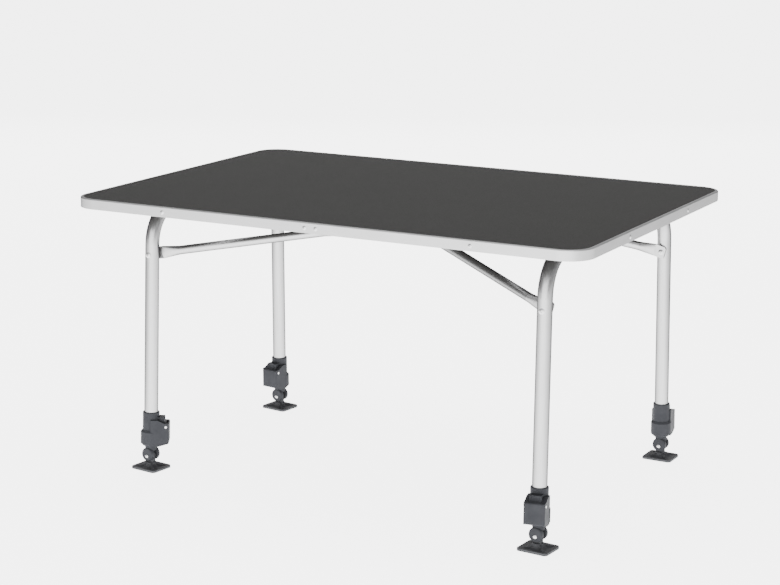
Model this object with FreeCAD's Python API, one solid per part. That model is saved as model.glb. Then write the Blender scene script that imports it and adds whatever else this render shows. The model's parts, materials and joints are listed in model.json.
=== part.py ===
import FreeCAD, Part
import math
import os

# Folding camping table, millimetres, floor at Z = 0, long side along X, front towards -Y.
V = FreeCAD.Vector

# Clearances
RUN = 0.05  # radial running fit of turning and sliding pieces
FIT = 0.3  # gap beside a piece that lies in a groove or a slot
SIDE = 0.1  # gap at the side of a turning flat piece
OVER = 1.0  # how far a cutting shape goes past a face

# Table top and its edge profile
TOP_L = 1150.0
TOP_W = 800.0
TOP_H = 607.0  # upper face at the lowest leg setting
CORNER_R = 54.0
EDGE_H = 21.0
EDGE_ROUND = 2.0
WALL = 2.2
LIP = 7.0
LIP_T = 1.0
PANEL_T = 6.0
LEDGE = 9.0
LEDGE_T = 1.2
RETURN = 6.5
RETURN_T = 1.5

# Rails and bearers under the panel, channels that are open towards it
RAIL_H = 10.0
RAIL_SIDE = 1.5
RAIL_FLOOR = 2.0
RAIL_END = 3.0
RAIL_X = 346.0
RAIL_W = 20.0
CENTRE_W = 45.0
BEARER_Y = 164.0
BEARER_W = 30.0
PAIR_X = 12.5
RIVET_R = 2.0
RIVET_HEAD_R = 4.5
RIVET_HEAD_H = 1.6
RIVET_EYE_R = 1.1
RIVET_DROP = 11.0
RIVET_PAST = 1.0  # of an edge rivet, past the end wall of a rail
GUIDE_RIVET_PAST = 1.5  # past the floor of the rail

# Leg frames, tube bent to an upside down U
TUBE_R = 15.0
TUBE_T = 1.5
HINGE_X = 468.0
HINGE_DROP = 35.0
BEND_R = 80.0
LEAN = 0.52  # degrees outwards along the table
SPLAY = 1.78  # degrees outwards across the table
NARROW = 255.7  # half width of the left frame at its top bar
WIDE = 321.4  # half width of the right frame, which folds round the left one

# Saddles that hold the top bars
SADDLE_W = 26.0
SADDLE_WALL = 5.0
SADDLE_FLANGE = 38.0
SADDLE_FLANGE_T = 4.0
SADDLE_MOUTH = 9.0
SCREW_X = 29.0
SCREW_R = 2.0
SCREW_HEAD_R = 4.0
SCREW_HEAD_H = 2.2
SCREW_PAST = 2.0  # past the floor of the bearer

# Struts and the slotted plates that guide their upper ends
FOLD = 84.0  # degrees from standing to folded
ARM = 100.0  # from the top bar down to the strut rivet
STRUT_R = 9.5
FLAT_T = 5.0
FLAT_W = 26.0
FLAT_L = 14.0
FLAT_END = 9.0  # from the rivet to the end of the strut
FLAT_ROUND = 5.0
NECK_L = 38.0
STRUT_PIN_R = 4.0
WASHER_T = 1.5
RIVET_CAP_R = 6.0
RIVET_CAP_H = 2.0
RIVET_CAP_EYE = 1.7
UPPER_X = 95.0
NARROW_UPPER_Y = 75.0  # upper ends of the narrow frame's struts
NARROW_UPPER_DROP = 76.0
WIDE_UPPER_Y = 145.0  # upper ends of the wide frame's struts
WIDE_UPPER_DROP = 40.2
RISE_FOLDED = 1.0  # degrees of the strut when folded
GUIDE_T = 3.0
GUIDE_EDGE = 5.0
GUIDE_HEM = 9.5
GUIDE_PIN_R = 3.0
GUIDE_HEAD_R = 6.0
GUIDE_HEAD_T = 2.0
PIN_COLLAR = 4.0

# Telescopic lower legs, measured up the leg axis from the floor
TUBE_END = 70.0
HOUSING_LOW = 52.0
HOUSING_TOP = 127.0
SLEEVE_R = 18.2
BULGE_R = 22.5
BULGE_TOP = 83.0
BULGE_TAPER = 5.0
RIM = 1.0
BLOCK_R = 40.0
BLOCK_W = 43.0
BLOCK_LOW = 60.0
BLOCK_TOP = 104.0
BLOCK_WALL = 3.0
WELL_LOW = 74.0
BLOCK_ROUND = 4.0
CHEEK_TOP = 111.0
LEVER_W = 24.0
LEVER_PIVOT_R = 33.0
LEVER_PIVOT_S = 97.0
LEVER_PIN_R = 2.5
LEVER_EYE = 4.5
LEVER_FOOT = 78.0
CAM_R = 29.0
TAB_R = 30.0
TAB_LOW = 106.0
TAB_WRAP = 6.0
LEVER_TOP = 116.0
SCOOP_R = 9.0
SCOOP_SIDE = 2.5
INNER_R = 13.0
INNER_T = 1.2
INNER_LOW = 51.0
INNER_L = 280.0
STEM_IN = 40.0
COLLAR_H = 4.0

# Swivelling forks and tilting foot plates
FORK_R = 15.0
FORK_NECK_R = 12.5
FORK_NECK_H = 6.0
FORK_PIN_H = 28.5
FORK_PIN_R = 3.0
FORK_PIN_HEAD = 1.2
FORK_RISE = 4.0  # barrel's middle above the pin
JAW_DROP = 10.0
JAW_FLAT = 14.0
JAW_ROUND = 3.0
SLOT_W = 10.0
SLOT_TOP = 12.0
FOOT_L = 67.0
FOOT_W = 60.0
FOOT_T = 5.5
FOOT_CORNER = 8.0
FOOT_ROUND = 1.5
FOOT_EYE_R = 8.5
POST_R = 11.0
POST_FLARE = 23.0
POST_TOP = 14.0
RIDGE_T = 5.0
RIDGE_REACH = 35.0

# Derived levels
PANEL_TOP = TOP_H - LIP_T
PANEL_LOW = PANEL_TOP - PANEL_T
RAIL_LOW = PANEL_LOW - RAIL_H
HINGE_Z = TOP_H - HINGE_DROP
RIVET_Z = TOP_H - RIVET_DROP
COS_SPLAY = math.cos(math.radians(SPLAY))
COS_LEAN = math.cos(math.radians(LEAN))
LEG_L = HINGE_Z / (COS_SPLAY * COS_LEAN)

# Side of the table along X and along Y, clamp direction and foot direction in degrees
LEGS = {
    "front_left": (-1, -1, 30.0, -8.0),
    "rear_left": (-1, 1, -97.0, -8.0),
    "front_right": (1, -1, -81.0, -5.0),
    "rear_right": (1, 1, 95.0, -1.0),
}
SIDES = {"left": -1, "right": 1}
ROWS = {"front": -1, "rear": 1}


def toward(shape, point, direction):
    """Set a shape that is made along +Z at a point, along a direction."""
    made = shape.copy()
    made.Placement = FreeCAD.Placement(point, FreeCAD.Rotation(V(0, 0, 1), direction))
    return made


def rod(radius, start, end):
    return Part.makeCylinder(radius, (end - start).Length, start, end - start)


def block(x0, x1, y0, y1, z0, z1):
    return Part.makeBox(x1 - x0, y1 - y0, z1 - z0, V(x0, y0, z0))


def prism(points, direction):
    return Part.Face(Part.makePolygon(points + points[:1])).extrude(direction)


def dome(radius, height):
    ball = (radius ** 2 + height ** 2) / (2 * height)
    cap = Part.makeSphere(ball, V(0, 0, height - ball))
    return cap.common(Part.makeCylinder(radius + OVER, height + OVER))


def hollow_head(radius, height, eye):
    """A domed rivet head with a blind hole in the middle."""
    return dome(radius, height).cut(Part.makeCylinder(eye, height, V(0, 0, height / 4)))


def group(solids):
    return Part.makeCompound(solids)


def rounded_slab(inset, z0, z1):
    """The table's outline, moved inwards by the inset."""
    half_l = TOP_L / 2 - inset
    half_w = TOP_W / 2 - inset
    slab = block(-half_l, half_l, -half_w, half_w, z0, z1)
    upright = [e for e in slab.Edges if abs(e.Vertexes[0].Z - e.Vertexes[1].Z) > 0.1]
    return slab.makeFillet(CORNER_R - inset, upright)


def edge_rivet_places():
    """Points on the outer face of the edge profile and the outward directions."""
    places = []
    for y in (-1, 1):
        for x in (-RAIL_X, -PAIR_X, PAIR_X, RAIL_X):
            places.append((V(x, y * TOP_W / 2, RIVET_Z), V(0, y, 0)))
    for x in (-1, 1):
        for y in (-BEARER_Y, BEARER_Y):
            places.append((V(x * TOP_L / 2, y, RIVET_Z), V(x, 0, 0)))
    return places


def edge_rivet_hole(point, out):
    return rod(RIVET_R + RUN, point + out * OVER, point - out * (WALL + RAIL_END + RIVET_PAST))


def top_panel():
    return rounded_slab(WALL + FIT, PANEL_LOW, PANEL_TOP)


def edge_profile():
    low = TOP_H - EDGE_H
    ledge_low = PANEL_LOW - LEDGE_T
    body = rounded_slab(0, low, TOP_H)
    rim = [e for e in body.Edges if min(v.Z for v in e.Vertexes) > TOP_H - 0.01]
    body = body.makeFillet(EDGE_ROUND, rim)
    body = body.cut(rounded_slab(LIP, PANEL_LOW, TOP_H + OVER))
    body = body.cut(rounded_slab(WALL, PANEL_LOW, PANEL_TOP))
    body = body.cut(rounded_slab(LEDGE, ledge_low - OVER, PANEL_LOW + OVER))
    body = body.cut(rounded_slab(WALL, low + RETURN_T, ledge_low))
    body = body.cut(rounded_slab(RETURN, low - OVER, low + RETURN_T + OVER))
    for point, out in edge_rivet_places():
        body = body.cut(edge_rivet_hole(point, out))
    return body


def edge_rivets():
    made = []
    for point, out in edge_rivet_places():
        shank = rod(RIVET_R, point - out * (WALL + RAIL_END + RIVET_PAST), point)
        head = hollow_head(RIVET_HEAD_R, RIVET_HEAD_H, RIVET_EYE_R)
        made.append(shank.fuse(toward(head, point, out)))
    return group(made)


def channel(x0, x1, y0, y1, along):
    """A rail with a floor, two sides and closed ends, open towards the panel."""
    side_x = RAIL_END if along == "x" else RAIL_SIDE
    side_y = RAIL_SIDE if along == "x" else RAIL_END
    body = block(x0, x1, y0, y1, RAIL_LOW, PANEL_LOW)
    low, high = RAIL_LOW + RAIL_FLOOR, PANEL_LOW + OVER
    inside = block(x0 + side_x, x1 - side_x, y0 + side_y, y1 - side_y, low, high)
    body = body.cut(inside)
    ledge_low = PANEL_LOW - LEDGE_T - FIT
    ledge = rounded_slab(0, ledge_low, high)
    body = body.cut(ledge.cut(rounded_slab(LEDGE + FIT, ledge_low - OVER, high + OVER)))
    for point, out in edge_rivet_places():
        body = body.cut(edge_rivet_hole(point, out))
    return body


def cross_rail(x, width):
    reach = TOP_W / 2 - WALL
    rail = channel(x - width / 2, x + width / 2, -reach, reach, "y")
    if x == 0:
        for point in guide_rivet_points():
            rail = rail.cut(rod(RIVET_R + RUN, point - V(0, 0, OVER), point + V(0, 0, RAIL_FLOOR + OVER)))
    return rail


def bearer(side, row):
    inner = RAIL_X + RAIL_W / 2
    outer = TOP_L / 2 - WALL
    ends = sorted((side * inner, side * outer))
    y = row * BEARER_Y
    body = channel(ends[0], ends[1], y - BEARER_W / 2, y + BEARER_W / 2, "x")
    for point in saddle_screw_points(side, row):
        body = body.cut(rod(SCREW_R + RUN, point - V(0, 0, OVER), point + V(0, 0, RAIL_FLOOR + OVER)))
    return body


def saddle_screw_points(side, row):
    return [V(side * HINGE_X + s * SCREW_X, row * BEARER_Y, RAIL_LOW) for s in (-1, 1)]


def saddle(side, row):
    """A strap with two feet that holds the top bar against the bearer."""
    x = side * HINGE_X
    y = row * BEARER_Y
    y0 = y - SADDLE_W / 2
    y1 = y + SADDLE_W / 2
    outer = TUBE_R + SADDLE_WALL
    body = block(x - SADDLE_FLANGE, x + SADDLE_FLANGE, y0, y1, RAIL_LOW - SADDLE_FLANGE_T, RAIL_LOW)
    upright = [e for e in body.Edges if abs(e.Vertexes[0].Z - e.Vertexes[1].Z) > 0.1]
    body = body.makeFillet(SADDLE_FLANGE_T, upright)
    body = body.fuse(block(x - outer, x + outer, y0, y1, HINGE_Z, RAIL_LOW))
    ring = rod(outer, V(x, y0, HINGE_Z), V(x, y1, HINGE_Z))
    body = body.fuse(ring.common(block(x - outer, x + outer, y0, y1, HINGE_Z - outer, HINGE_Z)))
    body = body.cut(rod(TUBE_R + RUN, V(x, y0 - OVER, HINGE_Z), V(x, y1 + OVER, HINGE_Z)))
    mouth = block(x - SADDLE_MOUTH, x + SADDLE_MOUTH, y0 - OVER, y1 + OVER, HINGE_Z, RAIL_LOW + OVER)
    body = body.cut(mouth)
    for point in saddle_screw_points(side, row):
        body = body.cut(rod(SCREW_R + RUN, point - V(0, 0, SADDLE_FLANGE_T + OVER), point + V(0, 0, OVER)))
    return body.removeSplitter()


def saddle_screws():
    made = []
    for side in SIDES.values():
        for row in ROWS.values():
            for point in saddle_screw_points(side, row):
                under = point - V(0, 0, SADDLE_FLANGE_T)
                shank = rod(SCREW_R, under, point + V(0, 0, RAIL_FLOOR + SCREW_PAST))
                made.append(shank.fuse(toward(dome(SCREW_HEAD_R, SCREW_HEAD_H), under, V(0, 0, -1))))
    return group(made)


def strut_ends(side, row):
    """Centres of the lower and the upper flat end of a strut."""
    half = NARROW if side < 0 else WIDE
    lean = math.radians(LEAN)
    x = side * (HINGE_X + ARM * math.sin(lean))
    z = HINGE_Z - ARM * math.cos(lean)
    y = half + ARM * math.tan(math.radians(SPLAY)) - TUBE_R - WASHER_T - FLAT_T / 2
    upper_y = NARROW_UPPER_Y if side < 0 else WIDE_UPPER_Y
    drop = NARROW_UPPER_DROP if side < 0 else WIDE_UPPER_DROP
    return V(x, row * y, z), V(side * UPPER_X, row * upper_y, TOP_H - drop)


def guide_path(side, count):
    """The upper strut end's path while the frame folds, as points in X and Z."""
    low, up = strut_ends(side, 1)
    reach = math.hypot(up.x - low.x, up.z - low.z)
    start = math.degrees(math.atan2(up.z - low.z, abs(up.x - low.x)))
    points = []
    for n in range(count):
        share = n / (count - 1)
        turn = math.radians(FOLD * share - LEAN)
        rise = math.radians(start + (RISE_FOLDED - start) * share)
        x = -HINGE_X + ARM * math.sin(turn) + reach * math.cos(rise)
        z = HINGE_Z - ARM * math.cos(turn) + reach * math.sin(rise)
        points.append(V(-side * x, 0, z))
    return points


def guide_band(side, half):
    """A curved band along the path with round ends, as wide as twice the half width."""
    path = guide_path(side, 9)
    offsets = []
    for n, point in enumerate(path):
        run = path[min(n + 1, len(path) - 1)] - path[max(n - 1, 0)]
        run.normalize()
        offsets.append((point, run, V(-run.z, 0, run.x) * half))
    upper = Part.BSplineCurve()
    upper.interpolate([p + across for p, run, across in offsets])
    lower = Part.BSplineCurve()
    lower.interpolate([p - across for p, run, across in offsets])
    p, run, across = offsets[0]
    start = Part.Arc(p + across, p - run * half, p - across)
    p, run, across = offsets[-1]
    end = Part.Arc(p + across, p + run * half, p - across)
    edges = [upper.toShape(), end.toShape(), lower.toShape(), start.toShape()]
    wire = Part.Wire(Part.__sortEdges__(edges))
    return Part.Face(wire)


def web_y(side):
    """Distance from the table's middle to the guide web of one side's struts."""
    low, up = strut_ends(side, 1)
    return up.y - FLAT_T / 2 - PIN_COLLAR - SIDE - GUIDE_T / 2


def guide_rivet_points():
    y = (web_y(-1) + web_y(1)) / 2
    return [V(x, row * y, RAIL_LOW) for row in ROWS.values() for x in (-PAIR_X, PAIR_X)]


def guide_web(side, row):
    """One side of a guide plate, which hangs from the rail and follows its slot."""
    half = GUIDE_PIN_R + FIT
    tab = side * (PAIR_X + GUIDE_HEM)
    corners = [V(tab, 0, RAIL_LOW)] + guide_path(side, 9) + [V(-tab, 0, RAIL_LOW)]
    web = prism(corners, V(0, GUIDE_T, 0))
    web = web.fuse(guide_band(side, half + GUIDE_EDGE).extrude(V(0, GUIDE_T, 0)))
    slot = guide_band(side, half).extrude(V(0, 3 * GUIDE_T, 0))
    slot.translate(V(0, -GUIDE_T, 0))
    web = web.cut(slot)
    web.translate(V(0, row * web_y(side) - GUIDE_T / 2, 0))
    return web


def guide_plate(row):
    """A folded plate under the centre rail, with one slotted web for each side's strut pin."""
    tab = PAIR_X + GUIDE_HEM
    inner, outer = sorted(row * web_y(side) for side in SIDES.values())
    half = GUIDE_T / 2
    body = block(-tab, tab, inner - half, outer + half, RAIL_LOW - GUIDE_T, RAIL_LOW)
    for side in SIDES.values():
        body = body.fuse(guide_web(side, row))
    for point in guide_rivet_points():
        body = body.cut(rod(RIVET_R + RUN, point - V(0, 0, 2 * GUIDE_T), point + V(0, 0, GUIDE_T)))
    return body.removeSplitter()


def guide_plate_rivets():
    made = []
    for point in guide_rivet_points():
        under = point - V(0, 0, GUIDE_T)
        shank = rod(RIVET_R, under, point + V(0, 0, RAIL_FLOOR + GUIDE_RIVET_PAST))
        made.append(shank.fuse(toward(dome(RIVET_HEAD_R, RIVET_HEAD_H), under, V(0, 0, -1))))
    return group(made)


def frame_place(side):
    """From a frame that stands upright at its top bar to its place on the table."""
    return FreeCAD.Placement(V(side * HINGE_X, 0, HINGE_Z), FreeCAD.Rotation(V(0, 1, 0), -side * LEAN))


def leg_place(side, row):
    """From a leg along +Z with its foot at the origin to its place on the table."""
    half = NARROW if side < 0 else WIDE
    splay = math.radians(SPLAY)
    foot = V(0, row * (half + LEG_L * math.sin(splay)), -LEG_L * math.cos(splay))
    turn = FreeCAD.Rotation(V(1, 0, 0), row * SPLAY)
    return frame_place(side).multiply(FreeCAD.Placement(foot, turn))


def frame_path(side):
    """The centre line of a bent leg tube, upright, with its top bar on the Y axis."""
    half = NARROW if side < 0 else WIDE
    splay = math.radians(SPLAY)
    turn = math.pi / 2 - splay
    back = BEND_R * math.tan(turn / 2)
    end = LEG_L - TUBE_END

    def spot(row, along):
        if along < 0:
            return V(0, row * (half + along), 0)
        return V(0, row * (half + along * math.sin(splay)), -along * math.cos(splay))

    edges = []
    for row in (-1, 1):
        centre = V(0, row * (half - back), -BEND_R)
        middle = centre + V(0, row * math.sin(turn / 2), math.cos(turn / 2)) * BEND_R
        edges.append(Part.LineSegment(spot(row, end), spot(row, back)).toShape())
        edges.append(Part.Arc(spot(row, back), middle, spot(row, -back)).toShape())
    edges.append(Part.LineSegment(spot(-1, -back), spot(1, -back)).toShape())
    return Part.Wire(Part.__sortEdges__(edges)), spot(-1, end), spot(-1, back)


def leg_frame(side):
    path, end, bend = frame_path(side)
    skins = []
    for radius in (TUBE_R, TUBE_R - TUBE_T):
        ring = Part.Wire(Part.Circle(end, bend - end, radius).toShape())
        skins.append(path.makePipeShell([ring], True, False))
    body = skins[0].cut(skins[1])
    body.Placement = frame_place(side)
    for row in ROWS.values():
        low, up = strut_ends(side, row)
        body = body.cut(rod(STRUT_PIN_R + RUN, low - V(0, row * TUBE_R, 0), low + V(0, row * 4 * TUBE_R, 0)))
    return body


def brace_rivets(side):
    """Rivets through the legs, with a washer under each strut and a domed head outside."""
    made = []
    for row in ROWS.values():
        low, up = strut_ends(side, row)
        out = V(0, row, 0)
        inner = low - out * (FLAT_T / 2 + SIDE)
        face = low + out * (FLAT_T / 2 + SIDE)
        leg_out = low + out * (FLAT_T / 2 + WASHER_T + 2 * TUBE_R + FIT)
        body = rod(STRUT_PIN_R, inner, leg_out)
        body = body.fuse(rod(RIVET_CAP_R, face, face + out * (WASHER_T - SIDE - 0.2)))
        cap = hollow_head(RIVET_CAP_R, RIVET_CAP_H, RIVET_CAP_EYE)
        body = body.fuse(toward(cap, leg_out, out)).fuse(toward(cap, inner, -out))
        made.append(body)
    return group(made)


def oval(centre, wide, half_wide, thin, half_thin):
    curve = Part.Ellipse(centre + wide * half_wide, centre + thin * half_thin, centre)
    return Part.Wire(curve.toShape())


def flat_end(centre, run, wide):
    """A flattened end that lies across Y, cut square with rounded corners."""
    half = wide * (FLAT_W / 2)
    side = V(0, FLAT_T / 2, 0)
    inside = centre + run * (FLAT_L + FLAT_T / 4)
    end = centre - run * FLAT_END
    tongue = prism([c - side for c in (end + half, inside + half, inside - half, end - half)], side * 2)
    tip = [e for e in tongue.Edges if abs(e.tangentAt(e.FirstParameter).y) > 0.9]
    tip = [e for e in tip if (e.CenterOfMass - centre).dot(run) < 0]
    return tongue.makeFillet(FLAT_ROUND, tip)


def strut(side, row):
    """A tube with both ends pressed flat, one on the leg and one in the guide plate."""
    low, up = strut_ends(side, row)
    run = V(up.x - low.x, 0, up.z - low.z)
    run.normalize()
    wide = V(0, 1, 0).cross(run)
    start = low + run * FLAT_L
    end = up - run * FLAT_L
    line = end - start
    line.normalize()
    across = V(0, 1, 0) - line * line.y
    across.normalize()
    rings = []
    for tip, inset in ((start, 0), (start, NECK_L), (end, -NECK_L), (end, 0)):
        if inset:
            rings.append(oval(tip + line * inset, wide, STRUT_R, across, STRUT_R - 0.001))
        else:
            rings.append(oval(tip, wide, FLAT_W / 2 + 0.6, V(0, 1, 0), FLAT_T / 2 + 0.5))
    body = Part.makeLoft(rings, True, True)
    body = body.fuse(flat_end(low, run, wide))
    body = body.fuse(flat_end(up, -run, wide))
    for point, radius in ((low, STRUT_PIN_R), (up, GUIDE_PIN_R)):
        body = body.cut(rod(radius + RUN, point - V(0, FLAT_T, 0), point + V(0, FLAT_T, 0)))
    return body


def brace_pins(side):
    """Pins in the upper strut ends, through the slots of the guide plates."""
    made = []
    for row in ROWS.values():
        low, up = strut_ends(side, row)
        out = V(0, row, 0)
        outer = up + out * (FLAT_T / 2)
        plate_out = V(up.x, row * (web_y(side) + GUIDE_T / 2 + SIDE), up.z)
        plate_in = V(up.x, row * (web_y(side) - GUIDE_T / 2 - SIDE), up.z)
        body = rod(GUIDE_PIN_R, plate_in, outer)
        body = body.fuse(rod(GUIDE_HEAD_R, plate_out, up - out * (FLAT_T / 2)))
        body = body.fuse(rod(GUIDE_HEAD_R, plate_in - out * GUIDE_HEAD_T, plate_in))
        body = body.fuse(toward(dome(GUIDE_HEAD_R, GUIDE_HEAD_T), outer, out))
        made.append(body)
    return group(made)


def turned(shape, angle, place):
    made = shape.copy()
    made.Placement = place.multiply(FreeCAD.Placement(V(), FreeCAD.Rotation(V(0, 0, 1), angle)))
    return made


def revolve(points):
    """Turn an outline of radius and height about the Z axis."""
    wire = Part.makePolygon([V(r, 0, z) for r, z in points + points[:1]])
    return Part.Face(wire).revolve(V(), V(0, 0, 1), 360)


def clamp_housing():
    """A sleeve on the leg tube with a block of two cheeks that carries the clamp lever."""
    outline = [(0, HOUSING_LOW), (BULGE_R - BULGE_TAPER, HOUSING_LOW), (BULGE_R, HOUSING_LOW + BULGE_TAPER)]
    outline += [(BULGE_R, BULGE_TOP), (SLEEVE_R, BULGE_TOP + BULGE_TAPER), (SLEEVE_R, HOUSING_TOP - RIM)]
    outline += [(SLEEVE_R - RIM, HOUSING_TOP), (0, HOUSING_TOP)]
    body = revolve(outline)
    half = BLOCK_W / 2
    cheek = [(0, HOUSING_LOW + RIM), (BULGE_R - BULGE_TAPER, HOUSING_LOW + RIM), (BLOCK_R, BLOCK_LOW)]
    cheek += [(BLOCK_R, BLOCK_TOP), (LEVER_PIVOT_R - LEVER_PIN_R, BLOCK_TOP)]
    cheek += [(SLEEVE_R - BLOCK_WALL, CHEEK_TOP), (0, CHEEK_TOP)]
    grip = prism([V(r, -half, s) for r, s in cheek], V(0, BLOCK_W, 0))
    outer = [e for e in grip.Edges if min(v.X for v in e.Vertexes) > BLOCK_R - 0.1]
    body = body.fuse(grip.makeFillet(BLOCK_ROUND, outer))
    body = body.cut(Part.makeCylinder(TUBE_R + RUN, HOUSING_TOP, V(0, 0, TUBE_END)))
    body = body.cut(Part.makeCylinder(INNER_R + RUN, HOUSING_TOP))
    gap = LEVER_W / 2 + FIT
    well = block(0, BLOCK_R - BLOCK_WALL, -gap, gap, WELL_LOW, HOUSING_TOP + RIM)
    body = body.cut(well.cut(revolve(outline)))
    pivot = V(LEVER_PIVOT_R, 0, LEVER_PIVOT_S)
    return body.cut(rod(LEVER_PIN_R + RUN, pivot - V(0, BLOCK_W, 0), pivot + V(0, BLOCK_W, 0)))


def clamp_pin():
    pivot = V(LEVER_PIVOT_R, 0, LEVER_PIVOT_S)
    reach = V(0, BLOCK_W / 2 + RIM, 0)
    return rod(LEVER_PIN_R, pivot - reach, pivot + reach)


def clamp_lever():
    """A scooped thumb tab above the block, on an arm that turns between the cheeks."""
    half = LEVER_W / 2
    inner = SLEEVE_R + 2 * FIT
    back = BLOCK_R - BLOCK_WALL - 5 * FIT
    r, s = LEVER_PIVOT_R, LEVER_PIVOT_S
    outline = [(inner, LEVER_TOP), (inner, s - RIM), (CAM_R - RIM, s - 2 * LEVER_EYE), (CAM_R, LEVER_FOOT)]
    outline += [(r + RIM, LEVER_FOOT), (back, s - LEVER_EYE), (back, s + LEVER_PIN_R), (r, TAB_LOW - 2 * RIM)]
    outline += [(TAB_R, TAB_LOW), (TAB_R, LEVER_TOP - RIM), (TAB_R - RIM, LEVER_TOP)]
    arm = prism([V(x, -half, z) for x, z in outline], V(0, LEVER_W, 0))
    reach = V(0, half - SCOOP_SIDE, 0)
    scoop = V(TAB_R + SCOOP_R * 0.8, 0, (TAB_LOW + LEVER_TOP) / 2 + RIM)
    arm = arm.cut(rod(SCOOP_R, scoop - reach, scoop + reach))
    around = Part.makeCylinder(inner, HOUSING_TOP)
    pivot = V(r, 0, s)
    bore = rod(LEVER_PIN_R + RUN, pivot - V(0, BLOCK_W, 0), pivot + V(0, BLOCK_W, 0))
    return arm.fuse(lever_wings(inner, half)).cut(around).cut(bore)


def lever_wings(inner, half):
    """The tab's two sides, which reach round the sleeve."""
    wings = block(inner - TAB_WRAP, inner + RIM, -half, half, CHEEK_TOP + RIM, LEVER_TOP)
    upright = [e for e in wings.Edges if abs(e.Vertexes[0].Z - e.Vertexes[1].Z) > 0.1]
    return wings.makeFillet(2 * RIM, [e for e in upright if e.Vertexes[0].X < inner])


def inner_tube():
    base = V(0, 0, INNER_LOW)
    skin = Part.makeCylinder(INNER_R, INNER_L, base)
    return skin.cut(Part.makeCylinder(INNER_R - INNER_T, INNER_L, base))


def fork_knuckle():
    """A barrel with a slot that leaves two jaws, upright, with the pin along Y at the origin."""
    far = 2 * FORK_R
    barrel = rod(FORK_R, V(0, -JAW_FLAT, FORK_RISE), V(0, JAW_FLAT, FORK_RISE))
    body = barrel.makeFillet(JAW_ROUND, [e for e in barrel.Edges if isinstance(e.Curve, Part.Circle)])
    neck_low = V(0, 0, FORK_RISE + FORK_R - FORK_NECK_H)
    body = body.fuse(Part.makeCone(FORK_NECK_R, INNER_R - INNER_T, FORK_NECK_H, neck_low))
    body = body.cut(block(-far, far, -far, far, -far, -JAW_DROP))
    body = body.cut(block(-far, far, -SLOT_W / 2, SLOT_W / 2, -far, SLOT_TOP))
    return body.cut(rod(FORK_PIN_R + RUN, V(0, -far, 0), V(0, far, 0)))


def pin_point(side, row):
    return leg_place(side, row).multVec(V(0, 0, FORK_PIN_H / (COS_SPLAY * COS_LEAN)))


def upright_place(side, row):
    return FreeCAD.Placement(pin_point(side, row), FreeCAD.Rotation())


def fork(side, row, angle):
    """The knuckle, with a stem up into the inner tube."""
    knuckle = turned(fork_knuckle(), angle, upright_place(side, row))
    stem_low = FORK_PIN_H + SLOT_TOP + FORK_PIN_R
    stem_r = INNER_R - INNER_T - 2 * RUN
    stem = Part.makeCylinder(stem_r, INNER_LOW + STEM_IN - stem_low, V(0, 0, stem_low))
    collar = Part.makeCylinder(INNER_R - 2 * SIDE, COLLAR_H, V(0, 0, INNER_LOW - SIDE - COLLAR_H))
    neck = turned(stem.fuse(collar), 0, leg_place(side, row))
    return knuckle.fuse(neck).removeSplitter()


def fork_pin():
    body = rod(FORK_PIN_R, V(0, -JAW_FLAT, 0), V(0, JAW_FLAT, 0))
    for row in (-1, 1):
        body = body.fuse(toward(dome(FORK_PIN_R + RIM, FORK_PIN_HEAD), V(0, row * JAW_FLAT, 0), V(0, row, 0)))
    return body


def foot_plate():
    """A dished plate with ridges up to a flared post and a tongue for the pin."""
    low = -FORK_PIN_H
    top = low + FOOT_T
    post_top = low + POST_TOP
    body = block(-FOOT_L / 2, FOOT_L / 2, -FOOT_W / 2, FOOT_W / 2, low, top)
    upright = [e for e in body.Edges if abs(e.Vertexes[0].Z - e.Vertexes[1].Z) > 0.1]
    body = body.makeFillet(FOOT_CORNER, upright)
    rim = [e for e in body.Edges if min(v.Z for v in e.Vertexes) > top - 0.01]
    body = body.makeFillet(FOOT_ROUND, rim)
    body = body.fuse(foot_post(low + RIM, top, post_top))
    diagonal = math.degrees(math.atan2(FOOT_W, FOOT_L))
    half = RIDGE_T / 2
    outline = [(half, low + RIM), (RIDGE_REACH, low + RIM), (RIDGE_REACH, top - RIM / 2)]
    outline += [(POST_R - 2 * RIM, post_top - RIM / 2), (half, post_top - RIM / 2)]
    for angle in (diagonal, 180 - diagonal, 180 + diagonal, -diagonal):
        ridge = prism([V(r, -half, z) for r, z in outline], V(0, RIDGE_T, 0))
        ridge.rotate(V(), V(0, 0, 1), angle)
        body = body.fuse(ridge)
    thick = SLOT_W / 2 - SIDE
    body = body.fuse(block(-FOOT_EYE_R, FOOT_EYE_R, -thick, thick, post_top - RIM, 0))
    body = body.fuse(rod(FOOT_EYE_R, V(0, -thick, 0), V(0, thick, 0)))
    return body.cut(rod(FORK_PIN_R + RUN, V(0, -SLOT_W, 0), V(0, SLOT_W, 0)))


def foot_post(low, top, post_top):
    """The post in the middle of a foot plate, which flares out to the plate."""
    waist = V(POST_R + (POST_FLARE - POST_R) * 0.27, 0, top + (post_top - top) * 0.35)
    flare = Part.Arc(V(POST_FLARE, 0, top), waist, V(POST_R, 0, post_top)).toShape()
    corners = [V(POST_R, 0, post_top), V(0, 0, post_top), V(0, 0, low), V(POST_FLARE, 0, low)]
    corners.append(V(POST_FLARE, 0, top))
    edges = [flare] + [Part.makeLine(a, b) for a, b in zip(corners, corners[1:])]
    return Part.Face(Part.Wire(Part.__sortEdges__(edges))).revolve(V(), V(0, 0, 1), 360)


def save(shape, name):
    shape.exportStep("parts/" + name + ".step")


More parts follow.
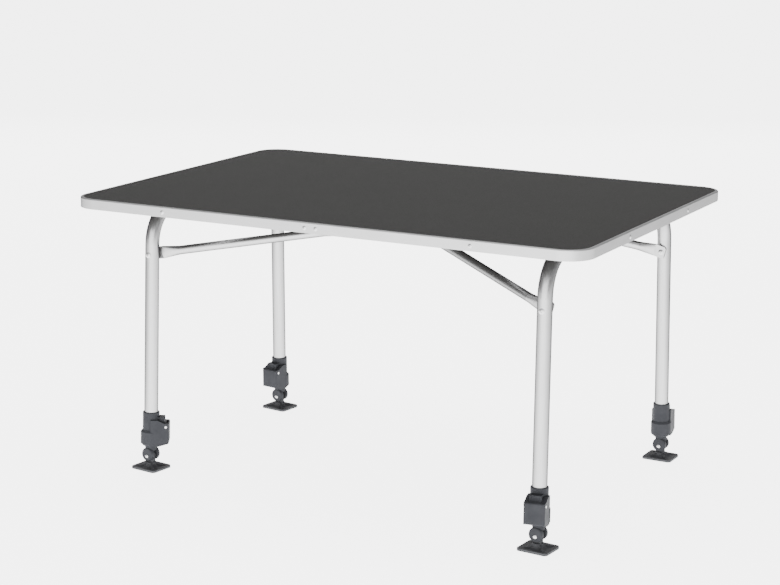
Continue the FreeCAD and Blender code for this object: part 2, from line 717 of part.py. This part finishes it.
def save_top():
    save(top_panel(), "top_panel")
    save(edge_profile(), "edge_profile")
    save(edge_rivets(), "edge_rivets")
    save(cross_rail(-RAIL_X, RAIL_W), "cross_rail_left")
    save(cross_rail(0, CENTRE_W), "cross_rail_centre")
    save(cross_rail(RAIL_X, RAIL_W), "cross_rail_right")
    save(saddle_screws(), "saddle_screws")
    save(guide_plate_rivets(), "guide_plate_rivets")
    for row_name, row in ROWS.items():
        save(guide_plate(row), "guide_plate_" + row_name)
        for side_name, side in SIDES.items():
            corner = row_name + "_" + side_name
            save(bearer(side, row), "bearer_" + corner)
            save(saddle(side, row), "saddle_" + corner)


def save_frames():
    housing = clamp_housing()
    for side_name, side in SIDES.items():
        save(leg_frame(side), "leg_frame_" + side_name)
        save(brace_rivets(side), "brace_rivets_" + side_name)
        save(brace_pins(side), "brace_pins_" + side_name)
        pins = []
        for row_name, row in ROWS.items():
            corner = row_name + "_" + side_name
            clamp_angle = LEGS[corner][2]
            save(strut(side, row), "strut_" + corner)
            save(turned(housing, clamp_angle, leg_place(side, row)), "clamp_housing_" + corner)
            pins.append(turned(clamp_pin(), clamp_angle, leg_place(side, row)))
        save(group(pins), "clamp_pins_" + side_name)


def save_feet():
    lever = clamp_lever()
    tube = inner_tube()
    plate = foot_plate()
    pin = fork_pin()
    for corner, (side, row, clamp_angle, foot_angle) in LEGS.items():
        save(turned(lever, clamp_angle, leg_place(side, row)), "clamp_lever_" + corner)
        save(turned(tube, 0, leg_place(side, row)), "inner_tube_" + corner)
        save(fork(side, row, foot_angle), "fork_" + corner)
        save(turned(pin, foot_angle, upright_place(side, row)), "fork_pin_" + corner)
        save(turned(plate, foot_angle, upright_place(side, row)), "foot_plate_" + corner)


os.makedirs("parts", exist_ok=True)
save_top()
save_frames()
save_feet()
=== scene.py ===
import json
import math
import bpy
from mathutils import Matrix, Vector

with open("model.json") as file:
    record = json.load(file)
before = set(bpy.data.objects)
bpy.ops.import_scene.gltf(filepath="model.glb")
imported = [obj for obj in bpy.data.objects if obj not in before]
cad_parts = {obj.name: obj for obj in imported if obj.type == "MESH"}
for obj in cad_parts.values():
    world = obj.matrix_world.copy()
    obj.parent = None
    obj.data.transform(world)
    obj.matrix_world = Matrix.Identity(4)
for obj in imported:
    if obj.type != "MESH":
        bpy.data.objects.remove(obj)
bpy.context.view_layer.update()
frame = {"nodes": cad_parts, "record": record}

NODES = frame["nodes"]
VIEW_AZIMUTH = math.radians(27.5623)


# Materials


class Graph:
    """A small helper that adds and joins shader nodes."""

    def __init__(self, name):
        self.material = bpy.data.materials.new(name)
        self.material.use_nodes = True
        self.tree = self.material.node_tree
        self.tree.nodes.clear()
        self.shader = self.add("ShaderNodeBsdfPrincipled")
        output = self.add("ShaderNodeOutputMaterial")
        self.join(self.shader.outputs["BSDF"], output.inputs["Surface"])
        self.place = self.add("ShaderNodeTexCoord").outputs["Object"]

    def add(self, kind, **values):
        node = self.tree.nodes.new(kind)
        for key, value in values.items():
            setattr(node, key, value)
        return node

    def join(self, output, socket):
        self.tree.links.new(output, socket)

    def stretched(self, scale):
        node = self.add("ShaderNodeMapping")
        node.inputs["Scale"].default_value = scale
        self.join(self.place, node.inputs["Vector"])
        return node.outputs["Vector"]

    def noise(self, scale, detail=3.0, rough=0.55, place=None):
        node = self.add("ShaderNodeTexNoise")
        node.inputs["Scale"].default_value = scale
        node.inputs["Detail"].default_value = detail
        node.inputs["Roughness"].default_value = rough
        self.join(place or self.place, node.inputs["Vector"])
        return node.outputs["Fac"]

    def ramp(self, fac, stops):
        node = self.add("ShaderNodeValToRGB")
        ramp = node.color_ramp
        while len(ramp.elements) < len(stops):
            ramp.elements.new(0.5)
        for element, (at, colour) in zip(ramp.elements, stops):
            element.position = at
            element.color = (*colour, 1.0)
        self.join(fac, node.inputs["Fac"])
        return node.outputs["Color"]

    def span(self, fac, low, high, start=0.3, end=0.7):
        node = self.add("ShaderNodeMapRange")
        node.inputs["From Min"].default_value = start
        node.inputs["From Max"].default_value = end
        node.inputs["To Min"].default_value = low
        node.inputs["To Max"].default_value = high
        self.join(fac, node.inputs["Value"])
        return node.outputs["Result"]

    def mix(self, fac, a, b, kind="MIX"):
        node = self.add("ShaderNodeMix", data_type="RGBA", blend_type=kind)
        for socket, value in ((node.inputs[0], fac), (node.inputs[6], a), (node.inputs[7], b)):
            if isinstance(value, bpy.types.NodeSocket):
                self.join(value, socket)
            else:
                socket.default_value = value
        return node.outputs[2]

    def facing(self):
        """0 where the surface looks at the eye, 1 at its rim."""
        return self.add("ShaderNodeLayerWeight").outputs["Facing"]

    def bump(self, height, strength, distance):
        node = self.add("ShaderNodeBump")
        node.inputs["Strength"].default_value = strength
        node.inputs["Distance"].default_value = distance
        self.join(height, node.inputs["Height"])
        self.join(node.outputs["Normal"], self.shader.inputs["Normal"])

    def set(self, **values):
        for key, value in values.items():
            socket = self.shader.inputs[key.replace("_", " ")]
            if isinstance(value, bpy.types.NodeSocket):
                self.join(value, socket)
            else:
                socket.default_value = value


def grey(value, tint=(1.0, 1.0, 1.0)):
    return tuple(value * t for t in tint)


def laminate():
    """Matt dark grey board with a fine pale and dark speckle."""
    g = Graph("laminate")
    fleck = g.noise(620.0, 2.0, 0.6)
    cloud = g.noise(14.0, 3.0)
    tint = (1.02, 1.01, 0.98)
    flecks = g.ramp(fleck, [(0.34, grey(0.026, tint)), (0.46, grey(0.036, tint)), (0.7, grey(0.051, tint))])
    g.set(Base_Color=g.mix(1.0, flecks, g.ramp(cloud, [(0.3, grey(0.97)), (0.7, grey(1.0))]), "MULTIPLY"))
    g.set(Roughness=g.span(fleck, 0.72, 0.8), Specular_IOR_Level=0.03)
    g.bump(fleck, 0.08, 0.0003)
    return g.material


def anodised(name, low, high, along, rough=(0.36, 0.44), rim=1.0):
    """Satin aluminium with fine drawing lines along one direction, faint clouding and painted shade that
    darkens the rims.
    """
    g = Graph(name)
    lines = g.noise(1.0, 4.0, 0.6, g.stretched(along))
    cloud = g.noise(9.0, 3.0)
    drawn = g.ramp(lines, [(0.3, grey(low)), (0.7, grey(high, (1.0, 1.0, 1.01)))])
    clouds = g.ramp(cloud, [(0.3, grey(0.95)), (0.7, grey(1.0))])
    tone = g.mix(1.0, drawn, clouds, "MULTIPLY")
    # Painted shade: the base colour is darkened towards the rims by the rim factor (none at 1.0).
    shade = g.span(g.facing(), 1.0, rim, 0.06, 0.5)
    g.set(Base_Color=g.mix(1.0, tone, shade, "MULTIPLY"), Metallic=1.0)
    g.set(Specular_Tint=(0.15, 0.15, 0.15, 1.0))
    g.set(Roughness=g.span(lines, *rough))
    g.bump(lines, 0.05, 0.0002)
    return g.material


def moulded(name, colour, rough=(0.42, 0.54)):
    """Moulded plastic with a fine spark-eroded grain and slight wear."""
    g = Graph(name)
    grain = g.noise(900.0, 2.0, 0.6)
    wear = g.noise(35.0, 4.0)
    dark = tuple(c * 0.9 for c in colour)
    light = tuple(c * 1.12 for c in colour)
    g.set(Base_Color=g.ramp(wear, [(0.35, dark), (0.65, light)]))
    g.set(Roughness=g.span(wear, *rough), Specular_IOR_Level=0.03)
    g.bump(grain, 0.12, 0.0003)
    return g.material


def zinc(name, low, high, rough=(0.2, 0.32)):
    """Bright zinc plating with a slight mottle."""
    g = Graph(name)
    mottle = g.noise(160.0, 3.0)
    g.set(Base_Color=g.ramp(mottle, [(0.3, grey(low, (1.0, 1.0, 1.01))), (0.7, grey(high))]), Metallic=1.0)
    g.set(Roughness=g.span(mottle, *rough))
    g.bump(mottle, 0.04, 0.0002)
    return g.material


MATERIALS = {
    "panel": laminate(),
    "edge_aluminium": anodised("edge_aluminium", 0.48, 0.54, (25.0, 25.0, 900.0)),
    # The tubes' 0.42 sets the painted shade on their rims.
    "tube_aluminium": anodised("tube_aluminium", 0.44, 0.5, (700.0, 700.0, 12.0), (0.3, 0.36), 0.42),
    "rail_aluminium": anodised("rail_aluminium", 0.55, 0.63, (300.0, 40.0, 300.0), (0.42, 0.52)),
    "plate_steel": zinc("plate_steel", 0.5, 0.58, (0.32, 0.45)),
    "dark_plastic": moulded("dark_plastic", (0.033, 0.034, 0.038)),
    # Painted light: a paler copy of the dark plastic for the foot plates, standing in for light falling on
    # them.
    "painted_light_foot_plastic": moulded("painted_light_foot_plastic", (0.055, 0.056, 0.06)),
    "lever_plastic": moulded("lever_plastic", (0.034, 0.035, 0.039)),
    "bright_steel": zinc("bright_steel", 0.5, 0.58, (0.28, 0.4)),
}


def dress_nodes():
    """Give each node its record's material; the foot plates get a paler copy of the plastic, painted light
    that stands in for light falling on them.
    """
    for part in frame["record"]["subparts"]:
        obj = NODES[part["node"]]
        is_foot = part["node"].startswith("foot_plate")
        # The foot plates take the paler plastic as painted light.
        material = MATERIALS["painted_light_foot_plastic" if is_foot else part["material_slot"]]
        if not obj.material_slots:
            obj.data.materials.append(material)
        for slot in obj.material_slots:
            slot.material = material


dress_nodes()


# Floor, light and camera


def calc(g, kind, *values):
    """A math node on sockets or numbers."""
    node = g.add("ShaderNodeMath", operation=kind)
    for socket, value in zip(node.inputs, values):
        if isinstance(value, bpy.types.NodeSocket):
            g.join(value, socket)
        else:
            socket.default_value = value
    return node.outputs[0]


def floor_glow(g, strength):
    """Painted light: the floor's own emission, brighter in a sweep behind and under the table and in a
    patch in front, softer at the sides.
    """
    turn = g.add("ShaderNodeVectorRotate", rotation_type="Z_AXIS")
    turn.inputs["Angle"].default_value = -VIEW_AZIMUTH
    g.join(g.place, turn.inputs["Vector"])
    split = g.add("ShaderNodeSeparateXYZ")
    g.join(turn.outputs["Vector"], split.inputs["Vector"])
    across, along = split.outputs["X"], split.outputs["Y"]
    beside = calc(g, "SUBTRACT", calc(g, "ABSOLUTE", across), calc(g, "MULTIPLY", along, 0.25))
    sweep = calc(g, "MULTIPLY", g.span(beside, 1.0, 0.0, 1.0, 1.9), g.span(along, 0.0, 1.0, -1.5, -0.8))
    far = g.add("ShaderNodeVectorMath", operation="DISTANCE")
    g.join(turn.outputs["Vector"], far.inputs[0])
    far.inputs[1].default_value = (-0.4, -2.0, 0.0)
    patch = g.span(far.outputs["Value"], 0.9, 0.0, 1.2, 2.6)
    lit = calc(g, "MAXIMUM", sweep, patch)
    return calc(g, "MULTIPLY", calc(g, "MULTIPLY_ADD", lit, 0.55, 0.45), strength)


def pale_floor(glow):
    mesh = bpy.data.meshes.new("floor")
    half = 40.0
    low = -0.0005
    corners = [(-half, -half, low), (half, -half, low), (half, half, low), (-half, half, low)]
    mesh.from_pydata(corners, [], [(0, 1, 2, 3)])
    floor = bpy.data.objects.new("floor", mesh)
    bpy.context.collection.objects.link(floor)
    g = Graph("floor_paper")
    g.set(Base_Color=(0.9, 0.9, 0.9, 1.0), Roughness=0.9, Specular_IOR_Level=0.1)
    # Painted light: the floor glows with the shaped emission from floor_glow.
    g.set(Emission_Color=(1.0, 1.0, 1.0, 1.0), Emission_Strength=floor_glow(g, glow))
    mesh.materials.append(g.material)


def soft_sky(horizon, overhead):
    """A dome of light that is dim at the horizon and bright overhead."""
    world = bpy.data.worlds.new("studio")
    world.use_nodes = True
    tree = world.node_tree
    split = tree.nodes.new("ShaderNodeSeparateXYZ")
    tree.links.new(tree.nodes.new("ShaderNodeTexCoord").outputs["Generated"], split.inputs["Vector"])
    rise = tree.nodes.new("ShaderNodeMapRange")
    rise.inputs["From Max"].default_value = 0.7
    rise.inputs["To Min"].default_value = horizon
    rise.inputs["To Max"].default_value = overhead
    tree.links.new(split.outputs["Z"], rise.inputs["Value"])
    tree.links.new(rise.outputs["Result"], tree.nodes["Background"].inputs["Strength"])
    tree.nodes["Background"].inputs["Color"].default_value = (1.0, 1.0, 1.0, 1.0)
    bpy.context.scene.world = world


def soft_box(name, place, aim, size, power):
    data = bpy.data.lights.new(name, "AREA")
    data.shape = "RECTANGLE"
    data.size, data.size_y = size
    data.energy = power
    lamp = bpy.data.objects.new(name, data)
    bpy.context.collection.objects.link(lamp)
    lamp.location = place
    lamp.rotation_euler = (Vector(aim) - Vector(place)).to_track_quat("-Z", "Y").to_euler()


def photo_camera():
    """The camera that was fitted to the photo's straight edges, in the table's frame."""
    azimuth, elevation, roll = VIEW_AZIMUTH, math.radians(12.6781), math.radians(0.4636)
    focal_px, centre_x, centre_y = 1999.783, 395.5, 290.6
    wide, high, sensor = 780.0, 585.0, 36.0
    level = math.cos(elevation)
    back = Vector((math.sin(azimuth) * level, -math.cos(azimuth) * level, math.sin(elevation)))
    right = Vector((math.cos(azimuth), math.sin(azimuth), 0.0))
    up = back.cross(right)
    turned_right = right * math.cos(roll) + up * math.sin(roll)
    turned_up = up * math.cos(roll) - right * math.sin(roll)
    data = bpy.data.cameras.new("camera")
    data.sensor_width = sensor
    data.lens = focal_px * sensor / wide
    data.shift_x = (wide / 2 - centre_x) / wide
    data.shift_y = (centre_y - high / 2) / wide
    data.clip_end = 200.0
    camera = bpy.data.objects.new("camera", data)
    bpy.context.collection.objects.link(camera)
    turn = Matrix((turned_right, turned_up, back)).transposed().to_4x4()
    camera.matrix_world = Matrix.Translation((1.921127, -3.71701, 1.335038)) @ turn
    bpy.context.scene.camera = camera


pale_floor(4.5)
soft_sky(0.3, 0.8)
soft_box("front", (1.2, -5.5, 1.5), (0, 0, 0.4), (8.0, 3.4), 300)
soft_box("back", (-2.4, 4.6, 2.0), (0, 0, 0.7), (6.0, 2.2), 100)
soft_box("top", (0, 0.2, 4.2), (0, 0, 0.4), (3.0, 2.4), 60)
photo_camera()
